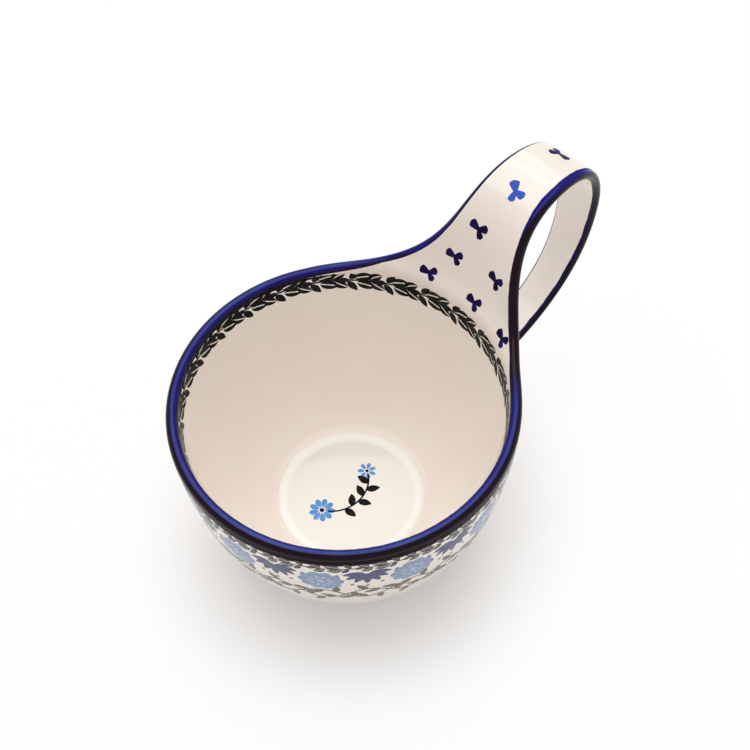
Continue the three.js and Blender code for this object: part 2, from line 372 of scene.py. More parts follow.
# Node trees, whose maths is written as expressions

class Value:
    """An output of a node. Arithmetic on it adds Math nodes to its tree."""

    def __init__(self, tree, socket):
        self.tree = tree
        self.socket = socket

    def math(self, operation, *others):
        return self.tree.maths(operation, self, *others)

    def __add__(self, other):
        return self.math("ADD", other)

    def __sub__(self, other):
        return self.math("SUBTRACT", other)

    def __mul__(self, other):
        return self.math("MULTIPLY", other)

    def __truediv__(self, other):
        return self.math("DIVIDE", other)

    def __rsub__(self, other):
        return self.tree.maths("SUBTRACT", other, self)

    def __rtruediv__(self, other):
        return self.tree.maths("DIVIDE", other, self)

    __radd__ = __add__
    __rmul__ = __mul__


class Tree:
    """Adds nodes to a shader or geometry tree."""

    def __init__(self, tree):
        self.tree = tree

    def feed(self, socket, value):
        if isinstance(value, Value):
            self.tree.links.new(value.socket, socket)
        else:
            socket.default_value = value

    def add(self, kind, settings=None, sockets=None):
        """A node of that kind, with its settings made first and then its sockets fed."""
        node = self.tree.nodes.new(kind)
        for name, setting in (settings or {}).items():
            setattr(node, name, setting)
        for name, value in (sockets or {}).items():
            self.feed(node.inputs[name], value)
        return node

    def get(self, kind, output, settings=None, sockets=None):
        """One output of a new node."""
        return Value(self, self.add(kind, settings, sockets).outputs[output])

    def maths(self, operation, *values):
        """The result of a Math node on values and numbers."""
        return self.get("ShaderNodeMath", 0, {"operation": operation}, dict(enumerate(values)))

    def split(self, vector):
        """The three parts of a vector."""
        node = self.add("ShaderNodeSeparateXYZ", sockets={"Vector": vector})
        return [Value(self, socket) for socket in node.outputs]


# Finishes

SPECK_CORE = 0.45
SPECK_FADE = 0.02
# Sockets of a Mix node that are for colours
FIRST_COLOUR = 6
SECOND_COLOUR = 7
MIXED_COLOUR = 2


class Finish(Tree):
    """A glaze or clay: one Principled shader, fed by patterns in Object coordinates."""

    def __init__(self, name):
        self.material = bpy.data.materials.new(name)
        self.material.use_nodes = True
        super().__init__(self.material.node_tree)
        self.shader = self.tree.nodes["Principled BSDF"]
        self.place = self.get("ShaderNodeTexCoord", "Object")
        centred = self.get(
            "ShaderNodeVectorMath", "Vector", {"operation": "SUBTRACT"},
            {0: self.place, 1: (AXIS, 0, 0)},
        )
        self.x, self.y, self.z = self.split(centred)

    def radius(self):
        """Distance from the bowl's axis."""
        return (self.x * self.x + self.y * self.y).math("SQRT")

    def set(self, **sockets):
        """Feeds the shader's sockets, which are named as in base_color."""
        for name, value in sockets.items():
            label = name.replace("_", " ").title().replace("Ior", "IOR")
            self.feed(self.shader.inputs[label], value)

    def noise(self, size, detail=2.0, roughness=0.5):
        """Soft cloudy pattern whose patches are about that many millimetres across."""
        return self.get(
            "ShaderNodeTexNoise", 0, {"normalize": True},
            {"Vector": self.place, "Scale": 1 / (size * MM), "Detail": detail, "Roughness": roughness},
        )

    def step(self, value, start, end):
        """0 below start, 1 above end, smooth between."""
        return self.get(
            "ShaderNodeMapRange", 0, {"interpolation_type": "SMOOTHSTEP"},
            {"Value": value, "From Min": start, "From Max": end, "To Min": 0.0, "To Max": 1.0},
        )

    def blend(self, share, first, second):
        """A colour between two others."""
        return self.get(
            "ShaderNodeMix", MIXED_COLOUR, {"data_type": "RGBA"},
            {0: share, FIRST_COLOUR: first, SECOND_COLOUR: second},
        )

    def bump(self, height, depth):
        """Surface relief from a pattern that runs from 0 to 1, with its depth in millimetres."""
        return self.get(
            "ShaderNodeBump", 0, sockets={"Height": height, "Distance": depth * MM, "Strength": 1.0},
        )

    def uneven(self, least, spread, size):
        """A roughness that changes softly from place to place."""
        return least + self.noise(size) * spread

    def specks(self, cell, radius, share):
        """1 on small round specks, one to a cell, in that share of the cells."""
        cells = self.add(
            "ShaderNodeTexVoronoi", {"feature": "F1"},
            {"Vector": self.place, "Scale": 1 / (cell * MM), "Randomness": 1.0},
        )
        from_middle = Value(self, cells.outputs["Distance"])
        spot = self.step(from_middle, radius / cell, SPECK_CORE * radius / cell)
        tint = Value(self, cells.outputs["Color"])
        lot = self.get("ShaderNodeSeparateColor", 0, sockets={"Color": tint})
        return spot * self.step(lot, 1 - share, 1 - share + SPECK_FADE)


def colour(red, green, blue):
    return (red, green, blue, 1.0)


CREAM = colour(0.946, 0.874, 0.809)
CREAM_WARM = colour(0.928, 0.838, 0.757)
# Whiter cream for a painted highlight on the well's edge, and darker for a painted reflection over the
# well
CREAM_EDGE_HIGHLIGHT = colour(0.915, 0.888, 0.830)
CREAM_WELL_REFLECTION = colour(0.838, 0.808, 0.748)
# Darker, warmer cream for painted shade on the tongue and on the wall beside the well
CREAM_SHADE = colour(0.850, 0.758, 0.680)
SPECK = colour(0.16, 0.10, 0.06)
COBALT = colour(0.008, 0.004, 0.150)
# Lighter cobalt: random runs, and the painted highlight on top of the edges
COBALT_THIN_AND_LIT = colour(0.034, 0.060, 0.310)
# Near-black cobalt, for painted shade on the sides of the edges and on the band below the rim
COBALT_POOLED_SHADE = colour(0.009, 0.002, 0.007)
LAUREL = colour(0.010, 0.012, 0.010)
LAUREL_THIN = colour(0.036, 0.050, 0.046)
# Paler laurel for the garland outside: partly a painted sheen of the glaze there
LAUREL_GREY = colour(0.075, 0.085, 0.088)
INK = colour(0.006, 0.007, 0.008)
INK_THIN = colour(0.022, 0.026, 0.030)
SPRIG = colour(0.012, 0.004, 0.042)
SPRIG_THIN = colour(0.022, 0.024, 0.210)
SPRIG_LIGHT = colour(0.045, 0.095, 0.480)
SPRIG_LIGHT_THIN = colour(0.080, 0.150, 0.560)
SKY = colour(0.105, 0.300, 0.640)
SKY_THIN = colour(0.230, 0.440, 0.740)
# Colours of the outside bands, set pale, partly as a painted sheen of the glaze on the outside
PALE_BLUE = colour(0.240, 0.330, 0.520)
PALE_BLUE_THIN = colour(0.360, 0.450, 0.620)
MISTY_BLUE = colour(0.520, 0.600, 0.720)
MID_BLUE = colour(0.130, 0.195, 0.380)
SLATE_BLUE = colour(0.045, 0.048, 0.150)
SLATE_BLUE_THIN = colour(0.110, 0.125, 0.300)
SAGE = colour(0.085, 0.086, 0.060)
SAGE_THIN = colour(0.200, 0.196, 0.140)
CLAY = colour(0.46, 0.36, 0.26)
CLAY_DARK = colour(0.30, 0.22, 0.15)

# The dense colours mirror little. The cream and the colours under it shine by a clear coat
COBALT_IOR = 1.26
PAINT_IOR = 1.10
COATED_IOR = 1.06
CLEAR_COAT_IOR = 1.46
CLEAR_COAT_ROUGHNESS = 0.09
OUTSIDE_CLEAR = 0.4

# Patterns of the finishes: sizes of their patches in millimetres, where they start, how far they show
CLOUDY = (0.30, 0.70)
CLOUD_SIZE = 35
CLOUD_WARMTH = 0.6
MOTTLE_SIZE = 3
MOTTLE_WARMTH = 0.25
RIPPLE_SIZE = 14
RIPPLE_SHARE = 0.7
DIMPLE_SIZE = 2.2
DIMPLE_SHARE = 0.3
RUN_SIZE = 22
RUN_SHARE = 0.1
# Painted highlight on top of the edges: how much the runs change it, its least, and how much there is on
# the cobalt beyond the edge
LIT_CROWN_RUN = 0.5
LIT_CROWN_LEAST = 0.4
BAND_LIT_CROWN = 0.2
WAVER_SIZE = 4
BARE_WAVER_SIZE = 5
BARE_WAVER = 0.4
BARE_EDGE = (0.6, 0.8)
STAMP_PATCH = 1.6
WORN = (0.45, 0.75)
WORN_SHARE = 0.8
RUB_SIZE = 7
RUBBED = (0.40, 0.75)
RUBBED_SHARE = 0.5
SAND_SIZE = 0.5
SAND_RELIEF = 0.7
GROG_SHARE = 0.6
GROG_PIT = 0.3
CLAY_ROUGHNESS = 0.78
CLAY_ROUGHNESS_SPREAD = 0.18
# Specks: size of the cell that each lies in, radius, and share of the cells that have one
LARGE_SPECKS = (5.5, 0.20, 0.30)
FINE_SPECKS = (2.6, 0.10, 0.22)
GROG = (0.9, 0.16, 0.35)
SPECK_STRENGTH = 0.65


def cobalt_colour(finish, crown, pooled):
    """Cobalt glaze: lighter in random runs and by a painted highlight on top of an edge; near-black by
    painted shade, given as pooling glaze.
    """
    run = finish.step(finish.noise(RUN_SIZE, detail=3), *CLOUDY)
    thin = run * RUN_SHARE + crown * (run * LIT_CROWN_RUN + LIT_CROWN_LEAST)
    return finish.blend(pooled, finish.blend(thin, COBALT, COBALT_THIN_AND_LIT), COBALT_POOLED_SHADE)


def cream_colour(finish, tones=None):
    """Cream glaze, warmer in soft patches and with a piece's own tones, under fine dark specks."""
    cloud = finish.step(finish.noise(CLOUD_SIZE), *CLOUDY)
    mottle = finish.noise(MOTTLE_SIZE, detail=3)
    cream = finish.blend(cloud * CLOUD_WARMTH + mottle * MOTTLE_WARMTH, CREAM, CREAM_WARM)
    if tones:
        cream = tones(finish, cream)
    specks = finish.specks(*LARGE_SPECKS) + finish.specks(*FINE_SPECKS)
    return finish.blend(specks.math("MINIMUM", 1.0) * SPECK_STRENGTH, cream, SPECK)


def cream_glaze(name, paint_depth, pooled, tones):
    """Glossy cream glaze, and the cobalt that runs on beyond the rounded edge."""
    finish = Finish(name)
    waver = (finish.noise(WAVER_SIZE, detail=1) - 0.5) * (2 * BAND_WAVER)
    painted = finish.step(paint_depth(finish) + waver, -BAND_SOFTNESS, BAND_SOFTNESS)
    cobalt = cobalt_colour(finish, BAND_LIT_CROWN, pooled(finish))
    ripple = finish.noise(RIPPLE_SIZE, detail=1) * RIPPLE_SHARE
    dimple = finish.noise(DIMPLE_SIZE) * DIMPLE_SHARE
    finish.set(
        base_color=finish.blend(painted, cream_colour(finish, tones), cobalt),
        roughness=finish.uneven(least=0.075, spread=0.05, size=6),
        normal=finish.bump(ripple + dimple, depth=0.05),
        coat_weight=1.0 - painted,
    )
    finish.set(ior=COATED_IOR, coat_ior=CLEAR_COAT_IOR, coat_roughness=CLEAR_COAT_ROUGHNESS)
    return finish.material


def rim_paint(finish):
    """How far inside the cobalt band a place on the bowl lies. The band follows the edge up the flare."""
    angle = finish.y.math("ARCTAN2", finish.x).math("ABSOLUTE")
    rise = ((angle / -FLARE_DECAY).math("EXPONENT") - FLARE_END).math("MAXIMUM", 0.0)
    below = (LIP_LEVEL * MM - finish.z) / MM + rise * FLARE_SPREAD
    inside = finish.step(finish.radius(), LIP_CIRCLE * MM, (LIP_CIRCLE - INSIDE_SOFTNESS) * MM)
    return WALL_BAND - (WALL_BAND - INSIDE_BAND) * inside - below


def bowl_tones(finish, cream):
    """Inside: painted shade, darker and warmer, on the wall beside the well; a whiter painted highlight
    on the well's edge; a darker, less warm painted reflection over the well itself.
    """
    def within(radius, softness):
        inside = finish.step(finish.radius(), radius * MM, (radius - softness) * MM)
        return inside * finish.step(finish.z, FOOT_HEIGHT * MM, FLOOR_LEVEL * MM)

    heel = within(HEEL_SHADE_END, HEEL_SHADE_END - WELL_RADIUS)
    cream = finish.blend(heel * HEEL_SHADE, cream, CREAM_SHADE)
    cream = finish.blend(within(WELL_RADIUS, WELL_EDGE), cream, CREAM_EDGE_HIGHLIGHT)
    return finish.blend(within(WELL_FLOOR_RADIUS + WELL_FADE, WELL_FADE), cream, CREAM_WELL_REFLECTION)


def measured(name):
    """A measure that the piece's mesh carries at its points."""
    return lambda finish: finish.get("ShaderNodeAttribute", "Fac", {"attribute_name": name})


def strap_tones(finish, cream):
    """Painted shade: the cream is darker and warmer on the tongue, and a little darker over the rest of
    the face.
    """
    return finish.blend(measured("thin")(finish), cream, CREAM_SHADE)


def cobalt_glaze():
    """Cobalt on the rounded edge, with cream where the brush missed the strap's left edge."""
    finish = Finish("cobalt_glaze")
    # Its measures give a painted highlight on top of the edge and painted shade on its sides
    cobalt = cobalt_colour(finish, measured("crown")(finish), measured("pooled")(finish))
    missed = measured("bare")(finish) + finish.noise(BARE_WAVER_SIZE, detail=1) * BARE_WAVER
    finish.set(
        base_color=finish.blend(finish.step(missed, *BARE_EDGE), cobalt, cream_colour(finish)),
        roughness=finish.uneven(least=0.06, spread=0.06, size=5),
        normal=finish.bump(finish.noise(size=6, detail=1), depth=0.05),
    )
    finish.set(ior=COBALT_IOR)
    return finish.material


def paint(name, full, thin, patch=STAMP_PATCH, clear=0.0):
    """Stamped colour, patchy where the stamp held less of it, under as much clear glaze as given."""
    finish = Finish(name)
    worn = finish.step(finish.noise(patch, detail=3, roughness=0.6), *WORN)
    finish.set(
        base_color=finish.blend(worn * WORN_SHARE, full, thin),
        roughness=finish.uneven(least=0.08, spread=0.05, size=6),
        normal=finish.bump(finish.noise(RIPPLE_SIZE, detail=1), depth=0.03),
    )
    finish.set(ior=PAINT_IOR, coat_weight=clear)
    finish.set(coat_ior=CLEAR_COAT_IOR, coat_roughness=CLEAR_COAT_ROUGHNESS)
    return finish.material


def outside_paint(name, full, thin):
    """Stamped colour on the outside, which has more clear glaze over it."""
    return paint(name, full, thin, clear=OUTSIDE_CLEAR)


def bare_clay():
    """Unglazed stoneware: sandy, pitted and matt, rubbed darker in patches."""
    finish = Finish("bare_clay")
    rubbed = finish.step(finish.noise(RUB_SIZE, detail=4), *RUBBED)
    grog = finish.specks(*GROG)
    sand = finish.noise(SAND_SIZE, detail=3)
    dark = (rubbed * RUBBED_SHARE + grog * GROG_SHARE).math("MINIMUM", 1.0)
    finish.set(
        base_color=finish.blend(dark, CLAY, CLAY_DARK),
        roughness=CLAY_ROUGHNESS + sand * CLAY_ROUGHNESS_SPREAD,
        normal=finish.bump(sand * SAND_RELIEF - grog * GROG_PIT, depth=0.12),
    )
    return finish.material


# All the cobalt on the bowl beyond the rounded edge is near-black, painted shade; on the strap that is so
# on its back
BOWL_GLAZE = cream_glaze("bowl_glaze", rim_paint, lambda finish: 1.0, bowl_tones)
STRAP_GLAZE = cream_glaze("strap_glaze", measured("paint_depth"), measured("pooled"), strap_tones)
COBALT_GLAZE = cobalt_glaze()
BARE_CLAY = bare_clay()


# Making pieces

SHARP_CORNER = radians(13)


def finished(piece, slot, *nodes):
    """Shades a piece smoothly, joins it to the pot's one body and hides the CAD nodes that it stands for.
    """
    piece.data.polygons.foreach_set("use_smooth", [True] * len(piece.data.polygons))
    piece.data.set_sharp_from_angle(angle=SHARP_CORNER)
    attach(piece, "root")
    if nodes:
        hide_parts(*nodes)


def new_object(name, data):
    piece = bpy.data.objects.new(name, data)
    bpy.context.scene.collection.objects.link(piece)
    return piece


def mesh_object(name, points, faces, material=None):
    mesh = bpy.data.meshes.new(name)
    mesh.from_pydata(points, [], faces)
    mesh.validate()
    if material:
        mesh.materials.append(material)
    return new_object(name, mesh)


def outward(mesh):
    """Turns the faces of closed shells outwards."""
    shell = bmesh.new()
    shell.from_mesh(mesh)
    bmesh.ops.recalc_face_normals(shell, faces=shell.faces)
    shell.to_mesh(mesh)
    shell.free()


def shell_object(name, points, faces, material):
    """A piece whose mesh is a closed shell."""
    piece = mesh_object(name, points, faces, material)
    outward(piece.data)
    return piece


class Growth(Tree):
    """A Geometry Nodes tree with named inputs."""

    def __init__(self, name, inputs):
        super().__init__(bpy.data.node_groups.new(name, "GeometryNodeTree"))
        face = self.tree.interface
        face.new_socket("Geometry", in_out="INPUT", socket_type="NodeSocketGeometry")
        self.keys = {}
        for label, kind in inputs.items():
            made = face.new_socket(label, in_out="INPUT", socket_type="NodeSocket" + kind)
            self.keys[label] = made.identifier
        face.new_socket("Geometry", in_out="OUTPUT", socket_type="NodeSocketGeometry")
        self.start = self.add("NodeGroupInput")

    def given(self, label):
        return Value(self, self.start.outputs[label])

    def position(self):
        return self.split(self.get("GeometryNodeInputPosition", 0))

    def turned(self, geometry, angle, radius, height):
        """Moves each point to its angle, radius and height about the bowl's axis."""
        x = radius * angle.math("COSINE") + AXIS
        y = radius * angle.math("SINE")
        goal = self.get("ShaderNodeCombineXYZ", 0, sockets={"X": x, "Y": y, "Z": height})
        return self.get("GeometryNodeSetPosition", 0, sockets={"Geometry": geometry, "Position": goal})

    def end(self, geometry):
        realized = self.get("GeometryNodeRealizeInstances", 0, sockets={"Geometry": geometry})
        dressed = self.get(
            "GeometryNodeSetMaterial", 0,
            sockets={"Geometry": realized, "Material": self.given("Material")},
        )
        self.add("NodeGroupOutput", sockets={"Geometry": dressed})

    def grow(self, piece, **inputs):
        """Runs the tree on an object and leaves the result there as a plain mesh."""
        modifier = piece.modifiers.new("growth", "NODES")
        modifier.node_group = self.tree
        for label, value in inputs.items():
            modifier[self.keys[label]] = value
        evaluated = piece.evaluated_get(bpy.context.evaluated_depsgraph_get())
        mesh = bpy.data.meshes.new_from_object(evaluated)
        piece.modifiers.clear()
        piece.data = mesh
        outward(mesh)


# Turned pieces: the bowl and its foot ring

SEAM_GAP = 1e-6


def turning_tree():
    """Turns the points of a profile about the axis, closing the poles and the seam."""
    tree = Growth("turned_clay", {
        "Profile": "Object", "Points": "Int", "Sides": "Int", "Material": "Material",
    })
    grid = tree.get(
        "GeometryNodeMeshGrid", 0,
        sockets={
            "Size X": 1.0, "Size Y": 1.0,
            "Vertices X": tree.given("Points"), "Vertices Y": tree.given("Sides") + 1,
        },
    )
    along, around = tree.position()[:2]
    number = ((along + 0.5) * (tree.given("Points") - 1)).math("ROUND")
    profile = tree.get("GeometryNodeObjectInfo", "Geometry", sockets={"Object": tree.given("Profile")})
    corner = tree.get(
        "GeometryNodeSampleIndex", 0, {"data_type": "FLOAT_VECTOR", "domain": "POINT"},
        {"Geometry": profile, "Value": tree.get("GeometryNodeInputPosition", 0), "Index": number},
    )
    radius, _, height = tree.split(corner)
    swept = tree.turned(grid, (around + 0.5) * (2 * pi), radius, height)
    closed = tree.get(
        "GeometryNodeMergeByDistance", 0, sockets={"Geometry": swept, "Distance": SEAM_GAP},
    )
    tree.end(closed)
    return tree


TURNING = turning_tree()
BOWL_SIDES = 240
FOOT_SIDES = 180
WALL_STRIDE = 2
WELL_STEP_STEPS = 12
ROUNDING_STEPS = 6


def turned_piece(name, profile, sides, material):
    """A piece that is turned from its profile."""
    points = [(point.x * MM, 0, point.y * MM) for point in profile]
    outline = mesh_object(name + "_profile", points, [])
    piece = mesh_object(name, [], [])
    TURNING.grow(piece, Profile=outline, Points=len(points), Sides=sides, Material=material)
    bpy.data.objects.remove(outline)
    return piece


def arc(centre, radius, start, end, steps):
    """Points of a circle from one angle to another."""
    angles = [mix(start, end, i / steps) for i in range(steps + 1)]
    return [centre + radius * way_to(angle) for angle in angles]


def bowl():
    """Wall and floor, cut level under the lip, with a step that runs out into the flat well."""
    foot_of_step = Vector((WELL_RADIUS - WELL_FILLET_PULL, FLOOR_LEVEL))
    end_of_step = Vector((WELL_FLOOR_RADIUS, FLOOR_LEVEL))
    step = curve([inner_wall[-1], foot_of_step, end_of_step], WELL_STEP_STEPS)
    profile = [Vector((0, FOOT_HEIGHT)), Vector((FOOT_RADIUS - FOOT_WIDTH, FOOT_HEIGHT))]
    profile += outer_wall[::WALL_STRIDE] + inner_wall[::WALL_STRIDE]
    profile += step[1:] + [Vector((0, FLOOR_LEVEL))]
    return turned_piece("bowl", profile, BOWL_SIDES, BOWL_GLAZE)


def foot_ring():
    """A trimmed ring of bare clay, rounded below."""
    inside = FOOT_RADIUS - FOOT_WIDTH
    low = FOOT_ROUNDING
    profile = arc(Vector((inside + low, low)), low, pi, 1.5 * pi, ROUNDING_STEPS)
    profile += arc(Vector((FOOT_RADIUS - low, low)), low, 1.5 * pi, 2 * pi, ROUNDING_STEPS)
    profile += [Vector((FOOT_RADIUS, FOOT_HEIGHT)), Vector((inside, FOOT_HEIGHT))]
    return turned_piece("foot_ring_clay", profile + profile[:1], FOOT_SIDES, BARE_CLAY)


# Strap handle and its cobalt edge

def ring_faces(rings, count):
    """Quads between rings of points."""
    faces = []
    for ring in range(rings - 1):
        for side in range(count):
            a = ring * count + side
            b = ring * count + (side + 1) % count
            faces.append((a, b, b + count, a + count))
    return faces


def measure(piece, **measures):
    """Gives a mesh a number at each of its points, under each name."""
    for name, values in measures.items():
        layer = piece.data.attributes.new(name, "FLOAT", "POINT")
        layer.data.foreach_set("value", values)


def finder(points):
    """A search for the nearest of some points."""
    tree = KDTree(len(points))
    for number, place in enumerate(points):
        tree.insert(place, number)
    tree.balance()
    return tree


def paint_on_face(distance, turn):
    """The brush ran on to the face over the crest, on the right side only."""
    over_crest = between(distance, FACE_BAND_RISE, FACE_BAND_FALL)
    return FACE_BAND * over_crest if turn < 0 else -BAND_OFF


def paint_on_back(distance, turn):
    """The wall's band narrows to a line up the back, which leaves the left side on the return."""
    band = mix(WALL_BAND, BACK_BAND, smoothstep(distance, 0, BACK_BAND_END))
    return mix(band, -BAND_OFF, smoothstep(distance, *RETURN_TONE)) if turn > 0 else band


def handle():
    """Flared tongue, strap and tail, with flat edges that the cobalt edge rounds off."""
    points, depths, pooled, thin = [], [], [], []
    sides = (1, -1)
    face_edge = finder([s.point(side * s.angle, s.face) for s in SECTIONS for side in sides])
    back_edge = finder([s.point(side * s.angle, -s.back) for s in SECTIONS for side in sides])
    for section in SECTIONS:
        turns = [section.angle * (2 * i / STRAP_ACROSS - 1) for i in range(STRAP_ACROSS + 1)]
        face = [section.point(turn, section.face) for turn in turns]
        back = [section.point(turn, -section.back) for turn in reversed(turns)]
        for turn, place in zip(turns, face):
            depths.append(paint_on_face(section.distance, turn) - face_edge.find(place)[2])
        for turn, place in zip(reversed(turns), back):
            depths.append(paint_on_back(section.distance, turn) - back_edge.find(place)[2])
        # The back of the strap takes the near-black cobalt, painted shade; the face does not
        pooled += [0.0] * len(face) + [1.0] * len(back)
        # Painted shade on the face, most on the tongue
        glaze = mix(TONGUE_SHADE, CREST_SHADE, smoothstep(section.distance, *SHADE_FADE))
        thin += [glaze] * len(face) + [0.0] * len(back)
        points += [placed(*place) for place in face + back]
    count = 2 * (STRAP_ACROSS + 1)
    faces = ring_faces(len(SECTIONS), count)
    last = (len(SECTIONS) - 1) * count
    for i in range(STRAP_ACROSS):
        facing = count - 1 - i
        faces.append((i, facing, facing - 1, i + 1))
        faces.append((last + i, last + i + 1, last + facing - 1, last + facing))
    piece = shell_object("handle", points, faces, STRAP_GLAZE)
    measure(piece, paint_depth=depths, pooled=pooled, thin=thin)
    return piece


RIM_STATIONS = 230
EDGE_STEPS = 24
LIP_STEPS = 12

# Tones of the cobalt, by the turn from the edge's face (on the rim: its inside) round to its back:
# painted shade, near-black as if the glaze pools, on the sides of the edge, and a painted highlight on
# its top
INSIDE_POOL_SHADE = (radians(5), radians(66))
INSIDE_POOLED_SHADE = 0.9
OUTSIDE_POOL_SHADE = (radians(98), radians(112))
STRAP_POOL_SHADE = (radians(-8), radians(8))
CREST_POOL_SHADE = (radians(40), radians(62))
BACK_FRINGE = (radians(152), radians(172))
FRINGE_CLEARED = 0.8
LIT_CROWN = (0.86, 1.0)
# How strong the painted highlight on top of the rim is round the pot: most at this angle and the opposite
# one
HIGHLIGHT_SIDE = radians(47)
HIGHLIGHT_LEAST = 0.3
# and by the distance along the strap
STRAP_TONE = (0.8, 3.6)
CREST_TONE_RISE = (34.0, 66.0)
CREST_TONE_FALL = (78.0, 96.0)
TAIL_BARE = (11.0, 6.0)
# The strap's left edge is bare beside its face, and on the return beside its back too
LEFT_TONE = (8.0, 15.0)
# The line of cobalt left along it is near-black, painted shade
LEFT_POOLED_SHADE = 0.7
LEFT_LINE = radians(15)
LEFT_LINE_EDGE = radians(10)
LEFT_LINE_RISE = (8.0, 40.0)
LEFT_RETURN = radians(144)
LEFT_RETURN_EDGE = radians(16)


def rim_highlight(angle):
    """How strong the painted highlight is on top of the rim, most at two opposite sides."""
    return mix(HIGHLIGHT_LEAST, 1.0, (1 + cos(2 * (angle - HIGHLIGHT_SIDE))) / 2)


def edge_tones(turn, distance, side, thin):
    """How much painted highlight and painted shade the cobalt takes at a turn round the edge, and where
    it is left off.
    """
    on_return = smoothstep(distance, *RETURN_TONE)
    at_tail = smoothstep(STRAP.length - distance, *TAIL_BARE)
    inside = INSIDE_POOLED_SHADE * (1 - smoothstep(turn, *INSIDE_POOL_SHADE))
    rim_pool_shade = max(inside, smoothstep(turn, *OUTSIDE_POOL_SHADE))
    crown = thin * smoothstep(sin(turn), *LIT_CROWN)
    if side > 0:
        on_line = smoothstep(distance, *LEFT_LINE_RISE)
        line = LEFT_LINE * on_line
        limit = mix(pi, LEFT_RETURN, on_return)
        by_face = 1 - smoothstep(turn, line - LEFT_LINE_EDGE, line)
        by_back = smoothstep(turn, limit, limit + LEFT_RETURN_EDGE)
        pooled = mix(rim_pool_shade, LEFT_POOLED_SHADE * on_line, smoothstep(distance, *LEFT_TONE))
        return crown * (1 - on_line), pooled, max(by_face, by_back, at_tail)
    on_strap = smoothstep(distance, *STRAP_TONE)
    on_crest = between(distance, CREST_TONE_RISE, CREST_TONE_FALL)
    start, end = (mix(low, high, on_crest) for low, high in zip(STRAP_POOL_SHADE, CREST_POOL_SHADE))
    fringe = FRINGE_CLEARED * on_return * smoothstep(turn, *BACK_FRINGE)
    pooled = mix(rim_pool_shade, smoothstep(turn, start, end) * (1 - fringe), on_strap)
    return crown * (1 - on_strap), pooled, at_tail


def cobalt_edge():
    """One rounded edge: along the left of the strap, round the rim, and along the right of the strap."""
    thin = rim_highlight(FLARE_HALF_ANGLE)
    edges = [(*section.edge(1), section.distance, 1, thin) for section in reversed(SECTIONS)]
    for i in range(1, RIM_STATIONS):
        angle = mix(FLARE_HALF_ANGLE, 2 * pi - FLARE_HALF_ANGLE, i / RIM_STATIONS)
        way = Vector((cos(angle), sin(angle), 0))
        middle = way * LIP_CIRCLE + Vector((0, 0, LIP_LEVEL))
        edges.append((middle, -way * LIP_RADIUS, Vector((0, 0, 1)), 0.0, 1, rim_highlight(angle)))
    thin = rim_highlight(-FLARE_HALF_ANGLE)
    edges += [(*section.edge(-1), section.distance, -1, thin) for section in SECTIONS]
    points, tones = [], []
    for middle, half, out, distance, side, thin in edges:
        for i in range(EDGE_STEPS + 1):
            turn = pi * i / EDGE_STEPS
            square = half.normalized() * cos(turn) + out * sin(turn)
            points.append(placed(*(middle + square * half.length)))
            tones.append(edge_tones(turn, distance, side, thin))
    count = EDGE_STEPS + 1
    faces = ring_faces(len(edges), count)
    faces.append(tuple(range(count)))
    faces.append(tuple(range(len(points) - 1, len(points) - 1 - count, -1)))
    piece = shell_object("cobalt_edge", points, faces, COBALT_GLAZE)
    crown, pooled, bare = zip(*tones)
    measure(piece, crown=crown, pooled=pooled, bare=bare)
    return piece


# Painted decoration: flat strokes that are laid on the glaze

PAINT_LIFT = 0.05
DETAIL_LIFT = 0.09
PAINT_SINK = 0.10
STROKE_STEPS = 8
STROKE_LEAST = 0.02
LOOK_AHEAD = 0.02
LEAF_LEAN = 0.85
LEAF_FULLNESS = 0.8
LEAF_TILT = radians(50)
PETAL_SPAN = (0.08, 0.97)
PETAL_LEAN = 1.5
PETAL_FULLNESS = 0.6
LOBE_TIP = 0.70
LOBE_ROOT = 0.32
LOBE_SWELL = 0.7


def bent(root, angle, length, bend=0.0):
    """A path that leaves root at an angle and bends to one side by a share of its length."""
    way = way_to(angle)
    side = crosswise(way)
    return lambda share: root + way * (length * share) + side * (bend * length * share * share)


def heading(path, share):
    """Direction of a path at a share of its length."""
    return (path(min(share + LOOK_AHEAD, 1)) - path(max(share - LOOK_AHEAD, 0))).normalized()


def almond(share):
    """Half of the width of a leaf along its length, as a share of the most."""
    return sin(pi * share ** LEAF_LEAN) ** LEAF_FULLNESS


